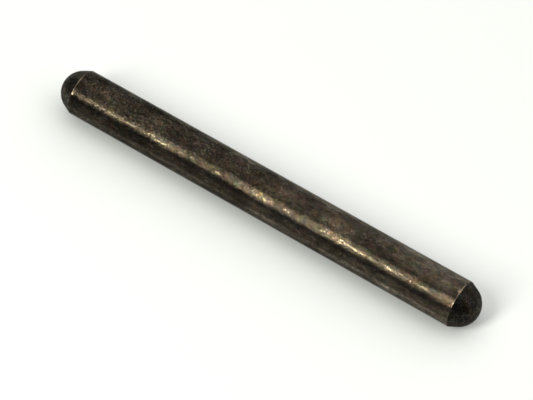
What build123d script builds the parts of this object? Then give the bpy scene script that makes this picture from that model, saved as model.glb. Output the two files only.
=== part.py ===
from build123d import *
import math
import os

# A clutch pin: one solid round steel bar that lies along X, with its middle at the origin.
# Each end narrows from the shank over a lead-in cone and closes with a dome, which pushes against its neighbour.

# Driving dimensions, in millimetres and degrees
PIN_DIAMETER = 6.0
OVERALL_LENGTH = 60.0
LEAD_IN_DEPTH = 0.48
LEAD_IN_ANGLE = 25.5
EDGE_RADIUS = 0.2

# Sizes that follow from them
SHANK_RADIUS = PIN_DIAMETER / 2
TIP_X = OVERALL_LENGTH / 2
DOME_EDGE_RADIUS = SHANK_RADIUS - LEAD_IN_DEPTH
DOME_RADIUS = DOME_EDGE_RADIUS / math.cos(math.radians(LEAD_IN_ANGLE))
DOME_CENTRE_X = TIP_X - DOME_RADIUS
DOME_EDGE_X = DOME_CENTRE_X + DOME_RADIUS * math.sin(math.radians(LEAD_IN_ANGLE))
LEAD_IN_LENGTH = LEAD_IN_DEPTH / math.tan(math.radians(LEAD_IN_ANGLE))
SHOULDER_X = DOME_EDGE_X - LEAD_IN_LENGTH


def dome_arc(side):
    """Half outline of one dome, from its tip on the axis to the circle where it runs smoothly into the cone.

    side is 1 for the end at +X and -1 for the end at -X.
    """
    start_angle = 0 if side > 0 else 180
    swept_angle = side * (90 - LEAD_IN_ANGLE)
    return CenterArc((side * DOME_CENTRE_X, 0), DOME_RADIUS, start_angle, swept_angle)


def half_section():
    """Section of the pin above its axis, with the worn edge between the shank and each cone rounded."""
    with BuildSketch(Plane.XZ) as section:
        with BuildLine():
            dome_arc(-1)
            Polyline(
                (-DOME_EDGE_X, DOME_EDGE_RADIUS),
                (-SHOULDER_X, SHANK_RADIUS),
                (SHOULDER_X, SHANK_RADIUS),
                (DOME_EDGE_X, DOME_EDGE_RADIUS),
            )
            dome_arc(1)
            Line((TIP_X, 0), (-TIP_X, 0))
        make_face()
        shoulders = section.vertices().group_by(Axis.Y)[-1]
        fillet(shoulders, EDGE_RADIUS)
    return section.sketch


def clutch_pin():
    """The whole pin, turned about its own axis."""
    pin = revolve(half_section(), axis=Axis.X, revolution_arc=360)
    pin.label = "clutch_pin"
    return pin


os.makedirs("parts", exist_ok=True)
export_step(clutch_pin(), "parts/clutch_pin.step")
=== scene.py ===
import logging
import math
from dataclasses import dataclass
from enum import Enum
from typing import Union

import bpy
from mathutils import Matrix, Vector


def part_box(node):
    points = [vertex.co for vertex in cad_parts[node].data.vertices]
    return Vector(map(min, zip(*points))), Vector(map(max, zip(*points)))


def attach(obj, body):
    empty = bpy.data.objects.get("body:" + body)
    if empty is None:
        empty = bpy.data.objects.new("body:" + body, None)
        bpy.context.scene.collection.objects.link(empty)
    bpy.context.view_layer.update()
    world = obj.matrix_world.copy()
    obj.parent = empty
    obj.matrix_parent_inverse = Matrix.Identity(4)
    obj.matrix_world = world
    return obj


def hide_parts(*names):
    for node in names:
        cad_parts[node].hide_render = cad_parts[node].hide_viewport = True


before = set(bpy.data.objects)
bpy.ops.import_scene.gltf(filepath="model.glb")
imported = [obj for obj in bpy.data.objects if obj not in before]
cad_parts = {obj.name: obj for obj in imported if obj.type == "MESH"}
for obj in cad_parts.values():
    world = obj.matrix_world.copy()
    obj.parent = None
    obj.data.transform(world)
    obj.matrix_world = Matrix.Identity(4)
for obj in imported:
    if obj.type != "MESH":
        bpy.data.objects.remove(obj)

log = logging.getLogger("clutch_pin")

Colour = tuple[float, float, float]
Socket = bpy.types.NodeSocket
Feed = Union[Socket, float, int, tuple]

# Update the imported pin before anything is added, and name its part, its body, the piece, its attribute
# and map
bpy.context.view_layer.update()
PIN_NODE = "clutch_pin"
PIN_BODY = "root"
PIECE_NAME = "worn_clutch_pin"
BARED_ATTRIBUTE = "bared"
MAP_NAME = "OFBake"

# Units and angles
MM = 0.001
FULL_TURN = 2 * math.pi
RIGHT_ANGLE = math.pi / 2

# The skin: how close two points are merged, and the margin round each half of the texture map
MERGE_DISTANCE = 0.0001 * MM
MAP_MARGIN = 0.01

# Wear: the smallest pit as a share of the largest, how far out from its middle a rubbed mark stays evenly
# bare, and the line high on the front of the shank that is rubbed most, as an angle from +Y towards +Z
SMALLEST_PIT = 0.35
MARK_PLATEAU = 0.45
RUBBED_LINE = math.radians(126.5)

# Where a mark is bared less than the first of these it fades out, and its flecks go from film to steel
# between the other two
MARK_RIM = 0.12
FLECK_START = 0.08
FLECK_END = 0.92

# The rubbed shoulder line: the noise between which it goes from least to most worn, how worn the least is,
# and what share of the wear is left on the pin's lower side, where the fading is painted shade
WORN_START = 0.35
WORN_END = 0.6
LEAST_WORN = 0.1
SHADED_SIDE_SHARE = 0.16

# Noise patterns: their middle value, then how many finer layers each has and how strong those are
NOISE_MIDDLE = 0.5
SPECK_DETAIL = 1.0
PATCH_DETAIL = 3.0
MOTTLE_ROUGHNESS = 0.55
TINT_DETAIL = 5.0
TINT_ROUGHNESS = 0.85

# The tints: the noise between which a patch goes from one tint to the other, how far apart the two patterns
# are read, and what each tint multiplies the film by
TINT_START = 0.3
TINT_END = 0.7
TINT_OFFSET = 50 * MM
GREENER: Colour = (0.76, 1.08, 0.78)
PINKER: Colour = (1.28, 0.93, 1.24)
BLUER: Colour = (0.80, 1.0, 1.40)
RUSTIER: Colour = (1.22, 1.0, 0.70)

# The Layer Weight setting at which Facing leans neither to the middle of a round surface nor to its rim
EVEN_BLEND = 0.5


class Ease(Enum):
    """How a value goes from one range to another."""

    SMOOTH = "SMOOTHSTEP"
    EVEN = "LINEAR"


def opaque(colour: Colour) -> tuple[float, float, float, float]:
    """Return a colour with full alpha, as a colour socket takes it."""
    return (*colour, 1.0)


class TreeBuilder:
    """Adds nodes to one tree and wires them up."""

    def __init__(self, tree: bpy.types.NodeTree) -> None:
        """Keep the tree that the nodes go into."""
        self.tree = tree

    def add(self, kind: str, **settings: object) -> bpy.types.Node:
        """Add a node.

        Args:
            kind: the node's type name.
            settings: the node's own properties, by name.

        Returns:
            The new node.
        """
        node = self.tree.nodes.new(kind)
        for name, value in settings.items():
            setattr(node, name, value)
        return node

    def feed(self, socket: Socket, value: Feed) -> None:
        """Link a socket to another one, or give it a constant.

        Args:
            socket: the input to feed.
            value: the output to link to it, or the constant.
        """
        if isinstance(value, Socket):
            self.tree.links.new(value, socket)
        else:
            socket.default_value = value

    def call(self, kind: str, inputs: dict[str, Feed], **settings: object) -> bpy.types.Node:
        """Add a node and feed its inputs by name.

        Args:
            kind: the node's type name.
            inputs: what goes into each named input.
            settings: the node's own properties, by name.

        Returns:
            The new node.
        """
        node = self.add(kind, **settings)
        for name, value in inputs.items():
            self.feed(node.inputs[name], value)
        return node

    def math(self, operation: str, *values: Feed) -> Socket:
        """Work out a number.

        Args:
            operation: what the Math node does.
            values: the one to three values it works on.

        Returns:
            The socket with the result.
        """
        node = self.add("ShaderNodeMath", operation=operation)
        for socket, value in zip(node.inputs, values):
            self.feed(socket, value)
        return node.outputs[0]

    def vector(self, operation: str, *values: Feed) -> Socket:
        """Work out a vector, or a number for a length or a dot product.

        Args:
            operation: what the Vector Math node does.
            values: the one or two vectors it works on.

        Returns:
            The socket with the result.
        """
        node = self.add("ShaderNodeVectorMath", operation=operation)
        for socket, value in zip(node.inputs, values):
            self.feed(socket, value)
        wanted = "Value" if operation in {"LENGTH", "DOT_PRODUCT"} else "Vector"
        return node.outputs[wanted]

    def scale(self, vector: Feed, factor: Feed) -> Socket:
        """Multiply a vector by a number.

        Args:
            vector: the vector.
            factor: the number.

        Returns:
            The socket with the longer or shorter vector.
        """
        node = self.add("ShaderNodeVectorMath", operation="SCALE")
        self.feed(node.inputs["Vector"], vector)
        self.feed(node.inputs["Scale"], factor)
        return node.outputs["Vector"]

    def ramp(self, value: Feed, start: Feed, end: Feed, low: Feed = 0.0, high: Feed = 1.0,
             ease: Ease = Ease.SMOOTH) -> Socket:
        """Carry a value from the range start to end over to low to high, and hold it at both ends."""
        inputs = {"Value": value, "From Min": start, "From Max": end, "To Min": low, "To Max": high}
        return self.call("ShaderNodeMapRange", inputs, interpolation_type=ease.value).outputs["Result"]

    def split(self, vector: Feed) -> tuple[Socket, ...]:
        """Return the three coordinates of a vector."""
        return tuple(self.call("ShaderNodeSeparateXYZ", {"Vector": vector}).outputs)

    def join(self, x: Feed, y: Feed, z: Feed) -> Socket:
        """Return a vector made of three coordinates."""
        return self.call("ShaderNodeCombineXYZ", {"X": x, "Y": y, "Z": z}).outputs["Vector"]

    def drawn_out(self, place: Feed, stretch: Feed) -> Socket:
        """Squeeze coordinates along X, so that a pattern read at them comes out stretch times as long."""
        x, y, z = self.split(place)
        return self.join(self.math("DIVIDE", x, stretch), y, z)

    def blend(self, share: Feed, first: Feed, second: Feed) -> Socket:
        """Return a mix of two colours.

        Args:
            share: 0 for the first colour and 1 for the second.
            first: the first colour.
            second: the second colour.

        Returns:
            The socket with the mixed colour.
        """
        node = self.add("ShaderNodeMix", data_type="RGBA")
        colours = [s for s in node.inputs if s.type == "RGBA"]
        self.feed(node.inputs["Factor"], share)
        self.feed(colours[0], first)
        self.feed(colours[1], second)
        return next(s for s in node.outputs if s.type == "RGBA")

    def noise(self, vector: Feed, size: Feed, detail: float = 2.0,
              roughness: float = 0.5) -> Socket:
        """Add a noise texture.

        Args:
            vector: where it is read, in metres.
            size: the width of its patches in metres.
            detail: how many finer layers it has.
            roughness: how strong the finer layers are.

        Returns:
            The socket with its value, about 0.5 on average.
        """
        inputs = {
            "Vector": vector,
            "Scale": self.math("DIVIDE", 1.0, size),
            "Detail": detail,
            "Roughness": roughness,
        }
        return self.call("ShaderNodeTexNoise", inputs).outputs["Fac"]


class NodeGroup:
    """A node group with named inputs and outputs, built once and then used by name."""

    def __init__(self, name: str, kind: str) -> None:
        """Make the empty group.

        Args:
            name: the group's name.
            kind: the tree type, for shaders or for geometry.
        """
        self.tree = bpy.data.node_groups.new(name, kind)
        self.builder = TreeBuilder(self.tree)
        self.entry = self.builder.add("NodeGroupInput")
        self.exit = self.builder.add("NodeGroupOutput")
        self.identifiers: dict[str, str] = {}

    def take(self, name: str, kind: str = "Float") -> Socket:
        """Add a named input.

        Args:
            name: the input's name.
            kind: the socket's kind, such as Float or Vector.

        Returns:
            The socket that gives its value inside the group.
        """
        socket = self.tree.interface.new_socket(
            name, in_out="INPUT", socket_type="NodeSocket" + kind)
        self.identifiers[name] = socket.identifier
        return self.entry.outputs[name]

    def give(self, name: str, value: Feed, kind: str = "Float") -> None:
        """Add a named output of one kind, such as Float or Vector, and feed it a value."""
        self.tree.interface.new_socket(name, in_out="OUTPUT", socket_type="NodeSocket" + kind)
        self.builder.feed(self.exit.inputs[name], value)

    def use(self, builder: TreeBuilder, inputs: dict[str, Feed]) -> bpy.types.Node:
        """Place the group in a tree.

        Args:
            builder: the builder of the tree that it goes into.
            inputs: what goes into each named input.

        Returns:
            The group's node.
        """
        kind = "GeometryNodeGroup" if self.tree.type == "GEOMETRY" else "ShaderNodeGroup"
        node = builder.add(kind, node_tree=self.tree)
        for name, value in inputs.items():
            builder.feed(node.inputs[name], value)
        return node


@dataclass(frozen=True)
class PinSizes:
    """The pin's sizes in metres and radians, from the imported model's box and the turner's own values."""

    overall_length: float
    diameter: float
    lead_in_depth: float = 0.48 * MM
    lead_in_angle: float = math.radians(25.5)
    edge_radius: float = 0.2 * MM

    @classmethod
    def from_frame(cls) -> "PinSizes":
        """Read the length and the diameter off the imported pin."""
        low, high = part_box(PIN_NODE)
        return cls(overall_length=high.x - low.x, diameter=high.z - low.z)

    @property
    def radius(self) -> float:
        """Half the shank's diameter."""
        return self.diameter / 2

    @property
    def dome_radius(self) -> float:
        """The dome's ball radius, at which it runs smoothly into the cone."""
        return (self.radius - self.lead_in_depth) / math.cos(self.lead_in_angle)

    @property
    def shoulder_x(self) -> float:
        """How far from the middle the shank would meet the cone if that edge were sharp."""
        dome_edge = self.overall_length / 2 - self.dome_radius * (1 - math.sin(self.lead_in_angle))
        return dome_edge - self.lead_in_depth / math.tan(self.lead_in_angle)


@dataclass(frozen=True)
class Stations:
    """How many rings of points each stretch of half the pin gets, and how many points a ring has."""

    shank: int = 150
    edge: int = 5
    cone: int = 10
    dome: int = 35
    sides: int = 236


@dataclass(frozen=True)
class Mark:
    """One oval mark of use, in metres and radians.

    Its middle is at along on X and at the angle around from +Y towards +Z, and bared is the share of bare
    steel there. A mark with a depth is a dent, and the others are only rubbed.
    """

    along: float
    around: float
    length: float
    width: float
    depth: float = 0.0
    bared: float = 1.0


class MarkGroup(NodeGroup):
    """Geometry group that gives how far one oval mark reaches at each point."""

    def __init__(self) -> None:
        """Build the group."""
        super().__init__("Oval mark", "GeometryNodeTree")
        build = self.builder
        radius = self.take("Radius")
        along = self.take("Along")
        around = self.take("Around")
        length = self.take("Length")
        width = self.take("Width")
        cosine = build.math("COSINE", around)
        sine = build.math("SINE", around)
        outward = build.join(0.0, cosine, sine)
        sideways = build.join(0.0, build.math("MULTIPLY", sine, -1.0), cosine)
        centre = build.vector("ADD", build.join(along, 0.0, 0.0), build.scale(outward, radius))
        here = build.add("GeometryNodeInputPosition").outputs["Position"]
        away = build.vector("SUBTRACT", here, centre)
        half_length = build.math("DIVIDE", length, 2.0)
        half_width = build.math("DIVIDE", width, 2.0)
        spread = build.join(
            build.math("DIVIDE", build.split(away)[0], half_length),
            build.math("DIVIDE", build.vector("DOT_PRODUCT", away, sideways), half_width),
            build.math("DIVIDE", build.vector("DOT_PRODUCT", away, outward), half_width),
        )
        self.give("Share", build.ramp(build.vector("LENGTH", spread), 1.0, self.take("Plateau")))


class PinSkinTree(NodeGroup):
    """Geometry tree that rolls a flat grid of stations and sides into the pin's skin and wears it."""

    def __init__(self, marks: tuple[Mark, ...]) -> None:
        """Build the tree.

        Args:
            marks: the single marks of use on the skin.
        """
        super().__init__("Pin skin", "GeometryNodeTree")
        self.mark_group = MarkGroup()
        self.radius = self.take("Radius")
        self.half_length = self.take("Half Length")
        self.depth = self.take("Lead-in Depth")
        self.angle = self.take("Lead-in Angle")
        self.edge_radius = self.take("Edge Radius")
        self.counts = [self.take(name, "Int") for name in (
            "Shank Stations", "Edge Stations", "Cone Stations", "Dome Stations")]
        self.sides = self.take("Sides", "Int")
        self.pit_spacing = self.take("Pit Spacing")
        self.pit_radius = self.take("Pit Radius")
        self.pit_depth = self.take("Pit Depth")
        self.seed = self.take("Seed", "Int")
        self.shank_finish = self.take("Shank Finish", "Material")
        self.end_finish = self.take("End Finish", "Material")
        rolled, shoulder = self.rolled_grid()
        worn = self.marked(self.pitted(rolled), marks)
        self.give("Geometry", self.dressed(worn, shoulder), "Geometry")

    def rolled_grid(self) -> tuple[Socket, Socket]:
        """Roll a grid round the axis, one station to a ring, by the rule of the pin's outline.

        Returns:
            The closed skin, and the distance of the sharp shoulder from the middle.
        """
        build = self.builder
        ends = [self.counts[0]]
        for count in self.counts[1:]:
            ends.append(build.math("ADD", ends[-1], count))
        across = build.math("MULTIPLY", ends[-1], 2.0)
        grid = build.call("GeometryNodeMeshGrid", {
            "Size X": across,
            "Size Y": FULL_TURN,
            "Vertices X": build.math("ADD", across, 1.0),
            "Vertices Y": build.math("ADD", self.sides, 1.0),
        })
        station, turn, _ = build.split(build.add("GeometryNodeInputPosition").outputs["Position"])
        mapped = self.unrolled_map(grid.outputs["Mesh"], station, turn, ends[-1])

        # Each stretch counts from 0 where it starts to 1 where it ends
        from_middle = build.math("ABSOLUTE", station)
        starts = [0.0, *ends[:-1]]
        shares = [build.ramp(from_middle, start, end, ease=Ease.EVEN) for start, end in zip(starts, ends)]
        out, ring_radius, shoulder = self.outline(*shares)

        # Every point of a station lies on one ring round the axis
        place = build.join(
            build.math("MULTIPLY", out, build.math("SIGN", station)),
            build.math("MULTIPLY", ring_radius, build.math("SINE", turn)),
            build.math("MULTIPLY", ring_radius, build.math("COSINE", turn)),
        )
        rolled = build.call("GeometryNodeSetPosition", {"Geometry": mapped, "Position": place})
        closed = build.call("GeometryNodeMergeByDistance", {
            "Geometry": rolled.outputs["Geometry"], "Distance": MERGE_DISTANCE})
        return closed.outputs["Geometry"], shoulder

    def outline(self, shank: Socket, edge: Socket, cone: Socket,
                dome: Socket) -> tuple[Socket, Socket, Socket]:
        """Follow the outline of half the pin, by the share of each stretch that lies behind a point.

        Args:
            shank: the share of the straight shank.
            edge: the share of the rounded shoulder.
            cone: the share of the lead-in cone.
            dome: the share of the dome.

        Returns:
            The point's distance from the middle, its distance from the axis, and the sharp shoulder's from
            the middle.
        """
        build = self.builder

        # The outline's own sizes, as the turner would work them out
        cosine = build.math("COSINE", self.angle)
        sine = build.math("SINE", self.angle)
        dome_edge_radius = build.math("SUBTRACT", self.radius, self.depth)
        dome_radius = build.math("DIVIDE", dome_edge_radius, cosine)
        dome_height = build.math("MULTIPLY", dome_radius, build.math("SUBTRACT", 1.0, sine))
        lead_in = build.math("DIVIDE", self.depth, build.math("TANGENT", self.angle))
        shoulder = build.math("SUBTRACT", build.math("SUBTRACT", self.half_length, dome_height), lead_in)
        cut_back = build.math(
            "MULTIPLY", self.edge_radius, build.math("TANGENT", build.math("DIVIDE", self.angle, 2.0)))

        # How far each stretch goes out along X, and how far it comes in towards the axis
        edge_angle = build.math("MULTIPLY", self.angle, edge)
        dome_angle = build.ramp(dome, 0.0, 1.0, self.angle, RIGHT_ANGLE, ease=Ease.EVEN)
        steps_out = (
            build.math("MULTIPLY", build.math("SUBTRACT", shoulder, cut_back), shank),
            build.math("MULTIPLY", self.edge_radius, build.math("SINE", edge_angle)),
            build.math("MULTIPLY", cone, build.math(
                "SUBTRACT", lead_in, build.math("MULTIPLY", cut_back, cosine))),
            build.math("MULTIPLY", dome_radius, build.math(
                "SUBTRACT", build.math("SINE", dome_angle), sine)),
        )
        steps_in = (
            build.math("MULTIPLY", self.edge_radius, build.math(
                "SUBTRACT", 1.0, build.math("COSINE", edge_angle))),
            build.math("MULTIPLY", cone, build.math(
                "SUBTRACT", self.depth, build.math("MULTIPLY", cut_back, sine))),
            build.math("MULTIPLY", dome_radius, build.math(
                "SUBTRACT", cosine, build.math("COSINE", dome_angle))),
        )
        out = steps_out[0]
        for step in steps_out[1:]:
            out = build.math("ADD", out, step)
        ring_radius = self.radius
        for step in steps_in:
            ring_radius = build.math("SUBTRACT", ring_radius, step)
        return out, ring_radius, shoulder

    def unrolled_map(self, grid: Socket, station: Socket,
                     turn: Socket, last: Socket) -> Socket:
        """Lay the flat grid out as a texture map, the pin's two halves one above the other.

        Args:
            grid: the flat grid.
            station: the station of each point, counted from the middle.
            turn: the angle of each point round the axis.
            last: the last station's number.

        Returns:
            The grid with the map.
        """
        build = self.builder
        middle = build.add("GeometryNodeFieldOnDomain", data_type="FLOAT", domain="FACE")
        build.feed(middle.inputs["Value"], station)
        right_half = build.math("GREATER_THAN", middle.outputs["Value"], 0.0)
        left_half = build.math("SUBTRACT", 1.0, right_half)
        along = build.math("ADD", build.math("DIVIDE", station, last), left_half)
        across = build.ramp(turn, -math.pi, math.pi, MAP_MARGIN, 1.0 - MAP_MARGIN, ease=Ease.EVEN)
        place = build.join(
            build.ramp(along, 0.0, 1.0, MAP_MARGIN, 1.0 - MAP_MARGIN, ease=Ease.EVEN),
            build.math("DIVIDE", build.math("ADD", across, right_half), 2.0),
            0.0,
        )
        return build.call("GeometryNodeStoreNamedAttribute", {
            "Geometry": grid, "Name": MAP_NAME, "Value": place,
        }, data_type="FLOAT2", domain="CORNER").outputs["Geometry"]

    def sunk(self, geometry: Socket, depth: Socket) -> Socket:
        """Push the skin inwards.

        Args:
            geometry: the skin.
            depth: how far each point goes in.

        Returns:
            The moved skin.
        """
        build = self.builder
        normal = build.add("GeometryNodeInputNormal").outputs["Normal"]
        offset = build.scale(normal, build.math("MULTIPLY", depth, -1.0))
        return build.call("GeometryNodeSetPosition", {
            "Geometry": geometry, "Offset": offset}).outputs["Geometry"]

    def pitted(self, skin: Socket) -> Socket:
        """Press small round pits of uneven size into the skin, scattered by the seed.

        Args:
            skin: the smooth skin.

        Returns:
            The pitted skin.
        """
        build = self.builder
        points = build.call("GeometryNodeDistributePointsOnFaces", {
            "Mesh": skin,
            "Distance Min": self.pit_spacing,
            "Density Max": build.math("DIVIDE", 1.0, build.math("POWER", self.pit_spacing, 2.0)),
            "Seed": self.seed,
        }, distribute_method="POISSON").outputs["Points"]
        near = build.call("GeometryNodeProximity", {"Geometry": points}, target_element="POINTS")
        nearest = build.call("GeometryNodeSampleNearest", {"Geometry": points}, domain="POINT")
        size = build.call("FunctionNodeRandomValue", {
            "Min": SMALLEST_PIT, "Max": 1.0, "ID": nearest.outputs["Index"], "Seed": self.seed,
        }, data_type="FLOAT").outputs["Value"]
        share = build.ramp(near.outputs["Distance"], build.math("MULTIPLY", self.pit_radius, size), 0.0)
        depth = build.math("MULTIPLY", build.math("MULTIPLY", share, self.pit_depth), size)
        return self.sunk(skin, depth)

    def marked(self, skin: Socket, marks: tuple[Mark, ...]) -> Socket:
        """Press the single marks into the skin, and keep how bare they leave it as an attribute.

        Args:
            skin: the pitted skin.
            marks: the marks.

        Returns:
            The marked skin.
        """
        build = self.builder
        depth, bared = 0.0, 0.0
        for mark in marks:
            share = self.mark_group.use(build, {
                "Radius": self.radius, "Along": mark.along, "Around": mark.around,
                "Length": mark.length, "Width": mark.width,
                "Plateau": 0.0 if mark.depth else MARK_PLATEAU,
            }).outputs["Share"]
            bared = build.math("MAXIMUM", build.math("MULTIPLY", share, mark.bared), bared)
            if mark.depth:
                depth = build.math("ADD", build.math("MULTIPLY", share, mark.depth), depth)
        kept = build.call("GeometryNodeStoreNamedAttribute", {
            "Geometry": skin, "Name": BARED_ATTRIBUTE, "Value": bared,
        }, data_type="FLOAT", domain="POINT")
        return self.sunk(kept.outputs["Geometry"], depth)

    def dressed(self, skin: Socket, shoulder: Socket) -> Socket:
        """Give the shank and the turned ends their finishes.

        Args:
            skin: the worn skin.
            shoulder: how far from the middle the ends start.

        Returns:
            The finished skin.
        """
        build = self.builder
        along = build.split(build.add("GeometryNodeInputPosition").outputs["Position"])[0]
        on_end = build.math("GREATER_THAN", build.math("ABSOLUTE", along), shoulder)
        smooth = build.call("GeometryNodeSetShadeSmooth", {"Geometry": skin})
        whole = build.call("GeometryNodeRealizeInstances", {"Geometry": smooth.outputs["Geometry"]})
        shank = build.call("GeometryNodeSetMaterial", {
            "Geometry": whole.outputs["Geometry"], "Material": self.shank_finish})
        return build.call("GeometryNodeSetMaterial", {
            "Geometry": shank.outputs["Geometry"], "Selection": on_end,
            "Material": self.end_finish}).outputs["Geometry"]


class MottleGroup(NodeGroup):
    """Shader group for the uneven oxide: how many times the film's own colour each spot reflects."""

    def __init__(self) -> None:
        """Build the group, three sizes of patch that multiply up, the larger ones drawn out along X."""
        super().__init__("Oxide mottle", "ShaderNodeTree")
        build = self.builder
        place = self.take("Vector", "Vector")
        drawn_out = build.drawn_out(place, self.take("Stretch"))
        layers = (
            ("Speck", place, SPECK_DETAIL),
            ("Blotch", drawn_out, PATCH_DETAIL),
            ("Cloud", drawn_out, PATCH_DETAIL),
        )
        patches: dict[str, Socket] = {}
        total = 0.0
        for layer, where, detail in layers:
            size = self.take(layer + " Size")
            contrast = self.take(layer + " Contrast")
            patches[layer] = build.noise(where, size, detail, MOTTLE_ROUGHNESS)
            off_middle = build.math("SUBTRACT", patches[layer], NOISE_MIDDLE)
            total = build.math("ADD", build.math("MULTIPLY", off_middle, contrast), total)
        self.give("Speck", patches["Speck"])
        self.give("Gain", build.math("EXPONENT", total))


class TintGroup(NodeGroup):
    """Shader group that tints a film colour in patches, greener or pinker and then bluer or rustier."""

    def __init__(self) -> None:
        """Build the group, the two pairs of tints one after the other."""
        super().__init__("Oxide tint", "ShaderNodeTree")
        build = self.builder
        place = self.take("Vector", "Vector")
        colour = self.take("Color", "Color")
        size = self.take("Patch Size")
        for offset, first, second in ((0.0, GREENER, PINKER), (TINT_OFFSET, BLUER, RUSTIER)):
            where = build.vector("ADD", place, (offset, offset, 0.0))
            patches = build.noise(where, size, TINT_DETAIL, TINT_ROUGHNESS)
            share = build.ramp(patches, TINT_START, TINT_END, ease=Ease.EVEN)
            colour = build.vector("MULTIPLY", colour, build.blend(share, opaque(first), opaque(second)))
        self.give("Color", colour, "Color")


class GrainGroup(NodeGroup):
    """Shader group for the fine relief of the skin: a height that is read by a Bump node."""

    def __init__(self) -> None:
        """Build the group."""
        super().__init__("Skin grain", "ShaderNodeTree")
        build = self.builder
        place = self.take("Vector", "Vector")
        size = self.take("Grain Size")
        depth = self.take("Depth")
        drawn_out = build.drawn_out(place, self.take("Stretch"))
        self.give("Height", build.math("MULTIPLY", build.noise(drawn_out, size), depth))


class ShoulderWearGroup(NodeGroup):
    """Shader group for the rubbed line on the edge between the shank and each end, with painted shade
    below.
    """

    def __init__(self) -> None:
        """Build the group: a broken line that is full on the pin's upper side and faint below, as painted
        shade.
        """
        super().__init__("Shoulder wear", "ShaderNodeTree")
        build = self.builder
        place = self.take("Vector", "Vector")
        shoulder = self.take("Shoulder")
        width = self.take("Width")
        break_up = self.take("Break-up Size")
        along, _, height = build.split(place)
        inside = build.math("SUBTRACT", shoulder, self.take("Inset"))
        gap = build.math("ABSOLUTE", build.math("SUBTRACT", build.math("ABSOLUTE", along), inside))
        line = build.ramp(gap, build.math("DIVIDE", width, 2.0), 0.0)
        patches = build.ramp(
            build.noise(place, break_up), WORN_START, WORN_END, LEAST_WORN, self.take("Most Worn"))
        # Faint on the lower side: painted shade, for the dimmer light that the lower edge reflects
        upper = build.ramp(height, self.take("Faint Below"), self.take("Full Above"), SHADED_SIDE_SHARE, 1.0)
        self.give("Wear", build.math("MULTIPLY", build.math("MULTIPLY", line, patches), upper))


@dataclass(frozen=True)
class FinishGroups:
    """The shader groups that both finishes use."""

    mottle: MottleGroup
    tint: TintGroup
    grain: GrainGroup
    shoulder_wear: ShoulderWearGroup


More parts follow.
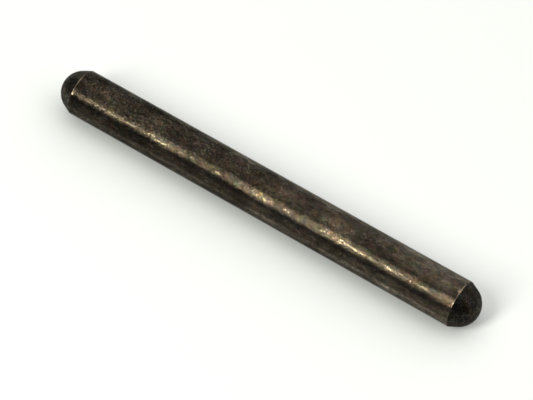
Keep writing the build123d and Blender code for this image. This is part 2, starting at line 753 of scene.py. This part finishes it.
@dataclass(frozen=True)
class SteelFinish:
    """The worn oxide finish of one part of the pin: colours as reflected light, sizes in metres.

    film is the oxide's own colour, slant is what it gains where the skin slants away from the eye, and bare
    is the steel that shows where the shoulders and the marks are rubbed. Where a field holds a pair, its
    first value is for the -X end and its second for the +X end.
    """

    name: str
    film: Colour
    slant: Colour
    haze: float
    roughness: float
    gains: tuple[float, float]
    bare: Colour = (0.41, 0.325, 0.215)
    bare_roughness: float = 0.24
    slant_start: float = 0.31
    slant_end: float = 0.45
    edge_tint: float = 0.46
    haze_index: float = 1.33
    haze_roughness: float = 0.8
    pattern_shift: tuple[float, float, float] = (29.2 * MM, 12.4 * MM, 22.8 * MM)
    stretch: float = 1.8
    speck_size: float = 0.13 * MM
    speck_contrasts: tuple[float, float] = (8.0, 3.0)
    blotch_size: float = 0.45 * MM
    blotch_contrast: float = 2.4
    cloud_size: float = 2.5 * MM
    cloud_contrast: float = 3.2
    tint_size: float = 1.1 * MM
    grain_size: float = 0.3 * MM
    grain_depths: tuple[float, float] = (0.022 * MM, 0.014 * MM)
    grain_stretch: float = 1.3
    wear_width: float = 0.2 * MM
    wear_break_up: float = 1.2 * MM
    wear_inset: float = 0.06 * MM
    most_worn: float = 0.38
    # Heights between which the shoulder line goes from faint to full: the faint lower side is painted shade
    wear_faint_below: float = 1.5 * MM
    wear_full_above: float = 2.2 * MM
    mark_raggedness: float = 1.8
    fade_reach: float = 27 * MM
    turning_pitch: float = 0.0
    turning_depth: float = 0.0

    def material(self, groups: FinishGroups, sizes: PinSizes) -> bpy.types.Material:
        """Build the material: the oxide as a dark metal under a matt haze, and bare steel where it is worn.

        Args:
            groups: the shader groups to use.
            sizes: the pin's sizes, for the place of the shoulder.

        Returns:
            The material.
        """
        made = bpy.data.materials.new(self.name)
        made.use_nodes = True
        made.node_tree.nodes.clear()
        build = TreeBuilder(made.node_tree)
        place = build.add("ShaderNodeTexCoord").outputs["Object"]
        mottle = groups.mottle.use(build, {
            "Vector": build.vector("ADD", place, self.pattern_shift),
            "Stretch": self.stretch,
            "Speck Size": self.speck_size,
            "Speck Contrast": self.faded(build, place, self.speck_contrasts),
            "Blotch Size": self.blotch_size, "Blotch Contrast": self.blotch_contrast,
            "Cloud Size": self.cloud_size, "Cloud Contrast": self.cloud_contrast})
        gain = build.math("MULTIPLY", mottle.outputs["Gain"], self.faded(build, place, self.gains))
        tinted = groups.tint.use(build, {
            "Vector": place, "Color": opaque(self.film), "Patch Size": self.tint_size}).outputs["Color"]
        facing = build.call("ShaderNodeLayerWeight", {"Blend": EVEN_BLEND}).outputs["Facing"]
        slanting = build.ramp(facing, self.slant_start, self.slant_end)
        film = build.vector("ADD", tinted, build.scale(self.slant, slanting))
        worn = self.worn_share(build, groups, place, mottle.outputs["Speck"], sizes)
        normal = self.relief(build, groups, place)
        shader = build.call("ShaderNodeBsdfPrincipled", {
            "Base Color": build.blend(worn, build.scale(film, gain), opaque(self.bare)),
            "Metallic": 1.0,
            "Roughness": build.ramp(worn, 0.0, 1.0, self.roughness, self.bare_roughness),
            "Specular Tint": opaque((self.edge_tint,) * 3),
            "Coat Weight": build.math("MINIMUM", build.math("MULTIPLY", gain, self.haze), 1.0),
            "Coat IOR": self.haze_index,
            "Coat Roughness": self.haze_roughness,
            "Normal": normal,
            "Coat Normal": normal})
        output = build.add("ShaderNodeOutputMaterial")
        build.feed(output.inputs["Surface"], shader.outputs["BSDF"])
        return made

    def faded(self, build: TreeBuilder, place: Socket,
              pair: tuple[float, float]) -> Socket:
        """Return a value that goes evenly from the pair's first at the -X end to its second at +X."""
        along = build.split(place)[0]
        return build.ramp(along, -self.fade_reach, self.fade_reach, *pair, ease=Ease.EVEN)

    def worn_share(self, build: TreeBuilder, groups: FinishGroups, place: Socket,
                   speck: Socket, sizes: PinSizes) -> Socket:
        """Return how far the film is worn off, by the shoulder's edge and by the single marks.

        Args:
            build: the builder of the material's tree.
            groups: the shader groups to use.
            place: the object coordinates.
            speck: the fine mottle, which makes the marks ragged.
            sizes: the pin's sizes.

        Returns:
            The socket with the share, 0 for film and 1 for bare steel.
        """
        edge = groups.shoulder_wear.use(build, {
            "Vector": place, "Shoulder": sizes.shoulder_x, "Width": self.wear_width,
            "Break-up Size": self.wear_break_up, "Inset": self.wear_inset, "Most Worn": self.most_worn,
            "Faint Below": self.wear_faint_below, "Full Above": self.wear_full_above}).outputs["Wear"]
        bared = build.add("ShaderNodeAttribute", attribute_name=BARED_ATTRIBUTE).outputs["Fac"]
        spread = build.math("MULTIPLY", build.math("SUBTRACT", speck, NOISE_MIDDLE), self.mark_raggedness)
        inside = build.ramp(bared, 0.0, MARK_RIM)
        ragged = build.math("MULTIPLY", build.math("ADD", bared, spread), inside)
        flecks = build.ramp(ragged, FLECK_START, FLECK_END, ease=Ease.EVEN)
        return build.math("MAXIMUM", edge, build.math("MULTIPLY", flecks, flecks))

    def relief(self, build: TreeBuilder, groups: FinishGroups,
               place: Socket) -> Socket:
        """Return the normal with the skin's grain and the turning marks on it.

        Args:
            build: the builder of the material's tree.
            groups: the shader groups to use.
            place: the object coordinates.

        Returns:
            The socket with the normal.
        """
        height = groups.grain.use(build, {
            "Vector": place, "Grain Size": self.grain_size,
            "Depth": self.faded(build, place, self.grain_depths),
            "Stretch": self.grain_stretch}).outputs["Height"]
        if self.turning_depth:
            _, y, z = build.split(place)
            from_axis = build.vector("LENGTH", build.join(0.0, y, z))
            waves = build.math("SINE", build.math("MULTIPLY", from_axis, FULL_TURN / self.turning_pitch))
            height = build.math("ADD", height, build.math("MULTIPLY", waves, self.turning_depth / 2))
        return build.call("ShaderNodeBump", {
            "Height": height, "Distance": 1.0, "Strength": 1.0}).outputs["Normal"]


@dataclass
class ClutchPin:
    """The pin: its sizes, its wear and its two finishes."""

    sizes: PinSizes
    stations: Stations = Stations()

    # Each mark gives its place along X, its angle, its length and its width
    marks: tuple[Mark, ...] = (
        Mark(27.25 * MM, math.radians(92), 0.6 * MM, 1.15 * MM, depth=0.04 * MM, bared=0.8),
        Mark(27.3 * MM, math.radians(125), 0.3 * MM, 0.8 * MM, bared=0.5),
        Mark(-27.3 * MM, math.radians(124), 0.35 * MM, 1.0 * MM, bared=0.6),
        Mark(-27.3 * MM, math.radians(131.5), 0.4 * MM, 0.7 * MM, bared=0.8),
        Mark(-24.3 * MM, math.radians(127.0), 7.0 * MM, 0.6 * MM, bared=0.3),
        Mark(-20.5 * MM, math.radians(127.5), 14.0 * MM, 0.6 * MM, bared=0.25),
        Mark(16.5 * MM, math.radians(127), 21.0 * MM, 0.6 * MM, bared=0.2),
        Mark(-25.3 * MM, math.radians(174), 0.6 * MM, 0.6 * MM, depth=0.03 * MM, bared=0.6),
        Mark(-20.3 * MM, math.radians(125), 0.6 * MM, 0.35 * MM, bared=0.33),
        Mark(-18.4 * MM, math.radians(128), 1.2 * MM, 0.4 * MM, bared=0.37),
        Mark(-15.5 * MM, math.radians(125), 1.7 * MM, 0.35 * MM, bared=0.45),
        Mark(-14.1 * MM, math.radians(130), 1.9 * MM, 0.4 * MM, bared=0.43),
        Mark(-12.8 * MM, RUBBED_LINE, 1.2 * MM, 0.45 * MM, bared=0.27),
        Mark(-9.5 * MM, RUBBED_LINE, 0.8 * MM, 0.45 * MM, bared=0.33),
        Mark(-5.8 * MM, RUBBED_LINE, 1.3 * MM, 0.45 * MM, bared=0.28),
        Mark(2.0 * MM, RUBBED_LINE, 0.9 * MM, 0.45 * MM, bared=0.22),
        Mark(4.2 * MM, RUBBED_LINE, 1.8 * MM, 0.45 * MM, bared=0.3),
        Mark(9.6 * MM, RUBBED_LINE, 2.8 * MM, 0.45 * MM, bared=0.22),
        Mark(11.9 * MM, math.radians(124), 0.8 * MM, 0.4 * MM, bared=0.5),
        Mark(11.6 * MM, math.radians(130.5), 1.2 * MM, 0.3 * MM, bared=0.36),
        Mark(13.2 * MM, math.radians(126), 3.2 * MM, 0.4 * MM, bared=0.47),
        Mark(14.6 * MM, math.radians(127.5), 2.8 * MM, 0.4 * MM, bared=0.46),
        Mark(16.3 * MM, RUBBED_LINE, 1.2 * MM, 0.4 * MM, bared=0.32),
        Mark(18.4 * MM, RUBBED_LINE, 2.6 * MM, 0.5 * MM, bared=0.4),
        Mark(23.5 * MM, RUBBED_LINE, 2.0 * MM, 0.5 * MM, bared=0.35),
    )
    pit_spacing: float = 1.1 * MM
    pit_radius: float = 0.3 * MM
    pit_depth: float = 0.006 * MM
    seed: int = 11
    shank_finish: SteelFinish = SteelFinish(
        name="ground_shank",
        film=(0.0282, 0.0222, 0.0136),
        slant=(0.055, 0.0485, 0.0385),
        haze=0.46,
        roughness=0.25,
        gains=(0.45, 1.26),
    )
    end_finish: SteelFinish = SteelFinish(
        name="turned_end",
        film=(0.0185, 0.0163, 0.0128),
        slant=(0.022, 0.020, 0.017),
        haze=0.09,
        roughness=0.40,
        # Painted light and shade: the -X dome made lighter and the +X dome darker, for the light falling on
        # each
        gains=(1.2, 0.82),
        speck_contrasts=(8.0, 5.0),
        cloud_contrast=1.6,
        turning_pitch=0.22 * MM,
        turning_depth=0.002 * MM,
    )

    def build(self) -> bpy.types.Object:
        """Make the pin's mesh with both finishes on it.

        Returns:
            The finished piece, a plain mesh with its object at the origin.
        """
        groups = FinishGroups(MottleGroup(), TintGroup(), GrainGroup(), ShoulderWearGroup())
        tree = PinSkinTree(self.marks)
        values = {
            "Radius": self.sizes.radius,
            "Half Length": self.sizes.overall_length / 2,
            "Lead-in Depth": self.sizes.lead_in_depth,
            "Lead-in Angle": self.sizes.lead_in_angle,
            "Edge Radius": self.sizes.edge_radius,
            "Shank Stations": self.stations.shank,
            "Edge Stations": self.stations.edge,
            "Cone Stations": self.stations.cone,
            "Dome Stations": self.stations.dome,
            "Sides": self.stations.sides,
            "Pit Spacing": self.pit_spacing,
            "Pit Radius": self.pit_radius,
            "Pit Depth": self.pit_depth,
            "Seed": self.seed,
            "Shank Finish": self.shank_finish.material(groups, self.sizes),
            "End Finish": self.end_finish.material(groups, self.sizes),
        }
        host = bpy.data.objects.new(PIECE_NAME, bpy.data.meshes.new("flat_start"))
        bpy.context.scene.collection.objects.link(host)
        skin = host.modifiers.new("skin", "NODES")
        skin.node_group = tree.tree
        for name, value in values.items():
            skin[tree.identifiers[name]] = value
        depsgraph = bpy.context.evaluated_depsgraph_get()
        mesh = bpy.data.meshes.new_from_object(host.evaluated_get(depsgraph), depsgraph=depsgraph)
        host.modifiers.remove(skin)
        host.data = mesh
        mesh.name = PIECE_NAME
        return host

    def place(self) -> bpy.types.Object:
        """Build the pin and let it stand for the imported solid, whose form it has.

        Returns:
            The finished piece.
        """
        piece = self.build()
        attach(piece, PIN_BODY)
        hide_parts(PIN_NODE)
        return piece


def direction(azimuth: float, elevation: float) -> Vector:
    """Return the unit vector to an azimuth, counted from -Y towards +X, and an elevation, in radians."""
    level = math.cos(elevation)
    return Vector((math.sin(azimuth) * level, -math.cos(azimuth) * level, math.sin(elevation)))


@dataclass(frozen=True)
class SoftLamp:
    """One soft oblong lamp, by where it stands, the size of its face and how bright that face looks."""

    name: str
    azimuth: float
    elevation: float
    distance: float
    width: float
    height: float
    brightness: float
    colour: Colour

    def place(self) -> bpy.types.Object:
        """Put the lamp up, turned to the pin.

        Returns:
            The lamp.
        """
        data = bpy.data.lights.new(self.name, "AREA")
        data.shape = "RECTANGLE"
        data.size = self.width
        data.size_y = self.height
        data.color = self.colour
        area = self.width * self.height
        data.energy = self.brightness * math.pi * area
        lamp = bpy.data.objects.new(self.name, data)
        towards = direction(self.azimuth, self.elevation)
        lamp.location = towards * self.distance
        lamp.rotation_mode = "QUATERNION"
        lamp.rotation_quaternion = towards.to_track_quat("Z", "Y")
        bpy.context.scene.collection.objects.link(lamp)
        return lamp


@dataclass(frozen=True)
class StudioSky:
    """The pale sky round the pin: bright above and behind it, darkest by the camera, over a pale low wall.

    The fade and shade values are cosines of the angle from their place in the sky. full_height and the two
    heights of the wall are sines of the angle above the horizon.
    """

    brightest_azimuth: float = math.radians(-212.0)
    brightest_elevation: float = math.radians(71.3)
    bright: float = 1.51
    dim: float = 0.019
    fade_start: float = 0.433
    fade_end: float = 0.602
    colour: Colour = (1.0, 1.0, 0.99)
    shaded_azimuth: float = math.radians(22.5)
    shaded_elevation: float = math.radians(44.6)
    shade_start: float = 0.625
    shade_end: float = 0.953
    full_height: float = 0.25
    wall: float = 0.42
    wall_full_below: float = 0.12
    wall_gone_above: float = 0.22

    def place(self) -> None:
        """Make the world: a fade from its brightest place, dark on its shaded side, over the low wall."""
        world = bpy.data.worlds.new("studio")
        bpy.context.scene.world = world
        world.use_nodes = True
        world.node_tree.nodes.clear()
        build = TreeBuilder(world.node_tree)
        looking = build.add("ShaderNodeTexCoord").outputs["Generated"]
        brightest = tuple(direction(self.brightest_azimuth, self.brightest_elevation))
        shaded = tuple(direction(self.shaded_azimuth, self.shaded_elevation))
        height = build.split(looking)[2]
        strength = build.ramp(
            build.vector("DOT_PRODUCT", looking, brightest),
            self.fade_start, self.fade_end, self.dim, self.bright)
        unshaded = build.ramp(
            build.vector("DOT_PRODUCT", looking, shaded), self.shade_start, self.shade_end, 1.0, 0.0)
        above = build.ramp(height, 0.0, self.full_height)
        for share in (unshaded, above):
            strength = build.math("MULTIPLY", strength, share)
        wall = build.ramp(height, self.wall_full_below, self.wall_gone_above, self.wall, 0.0)
        strength = build.math("MAXIMUM", strength, wall)
        light = build.call("ShaderNodeBackground", {
            "Color": opaque(self.colour), "Strength": strength})
        output = build.add("ShaderNodeOutputWorld")
        build.feed(output.inputs["Surface"], light.outputs["Background"])


@dataclass(frozen=True)
class PaperFloor:
    """The white sheet that the pin lies on."""

    half_width: float = 3.0
    colour: Colour = (0.900, 0.910, 0.890)
    roughness: float = 0.7

    def place(self, height: float) -> bpy.types.Object:
        """Lay the sheet.

        Args:
            height: the height of its top, in metres.

        Returns:
            The sheet.
        """
        mesh = bpy.data.meshes.new("paper_floor")
        corners = [(x * self.half_width, y * self.half_width, height)
                   for x, y in ((-1, -1), (1, -1), (1, 1), (-1, 1))]
        mesh.from_pydata(corners, [], [(0, 1, 2, 3)])
        mesh.materials.append(self.material())
        sheet = bpy.data.objects.new("paper_floor", mesh)
        bpy.context.scene.collection.objects.link(sheet)
        return sheet

    def material(self) -> bpy.types.Material:
        """Build the sheet's plain white finish.

        Returns:
            The material.
        """
        made = bpy.data.materials.new("white_paper")
        made.use_nodes = True
        made.node_tree.nodes.clear()
        build = TreeBuilder(made.node_tree)
        shader = build.call("ShaderNodeBsdfDiffuse", {
            "Color": opaque(self.colour), "Roughness": self.roughness})
        output = build.add("ShaderNodeOutputMaterial")
        build.feed(output.inputs["Surface"], shader.outputs["BSDF"])
        return made


@dataclass(frozen=True)
class PhotoCamera:
    """The camera at the photograph's viewing angle, in metres and radians, with its lens in millimetres.

    The nearest and furthest things that it sees are given as multiples of its distance.
    """

    azimuth: float = math.radians(33.71)
    elevation: float = math.radians(57.22)
    distance: float = 309.0 * MM
    aim_right: float = 0.066 * MM
    aim_down: float = 0.5475 * MM
    lens: float = 172.82
    sensor_width: float = 36.0
    nearest: float = 0.1
    furthest: float = 100

    def place(self) -> bpy.types.Object:
        """Set the camera up and make it the scene's own.

        Returns:
            The camera.
        """
        data = bpy.data.cameras.new("photo_camera")
        data.lens = self.lens
        data.sensor_fit = "HORIZONTAL"
        data.sensor_width = self.sensor_width
        data.clip_start = self.nearest * self.distance
        data.clip_end = self.furthest * self.distance
        camera = bpy.data.objects.new("photo_camera", data)
        backwards = direction(self.azimuth, self.elevation)
        rightwards = Vector((math.cos(self.azimuth), math.sin(self.azimuth), 0.0))
        upwards = backwards.cross(rightwards)
        aim = rightwards * self.aim_right - upwards * self.aim_down
        camera.location = aim + backwards * self.distance
        camera.rotation_mode = "QUATERNION"
        camera.rotation_quaternion = backwards.to_track_quat("Z", "Y")
        bpy.context.scene.collection.objects.link(camera)
        bpy.context.scene.camera = camera
        return camera


@dataclass(frozen=True)
class Studio:
    """Everything round the pin: the sheet, the pale sky, the lamps and the camera."""

    floor: PaperFloor = PaperFloor()
    sky: StudioSky = StudioSky()
    camera: PhotoCamera = PhotoCamera()
    lamps: tuple[SoftLamp, ...] = (
        SoftLamp(
            name="low_front_window",
            azimuth=math.radians(-21.3),
            elevation=math.radians(45.4),
            distance=0.6,
            width=0.169,
            height=0.365,
            brightness=10.0,
            colour=(0.985, 1.0, 0.945),
        ),
    )

    def place(self, floor_height: float) -> None:
        """Put up the studio.

        Args:
            floor_height: the height of the sheet, in metres.
        """
        self.floor.place(floor_height)
        self.sky.place()
        for lamp in self.lamps:
            lamp.place()
        self.camera.place()
        bpy.context.scene.view_settings.view_transform = "Standard"


def main() -> None:
    """Build the pin and the studio round it."""
    logging.basicConfig(level=logging.INFO, format="%(name)s: %(message)s")
    pin = ClutchPin(PinSizes.from_frame())
    piece = pin.place()
    log.info("%s: %d faces", piece.name, len(piece.data.polygons))
    studio = Studio()
    studio.place(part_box(PIN_NODE)[0].z)
    log.info("studio: %d lamps", len(studio.lamps))


if __name__ == "__main__":
    main()
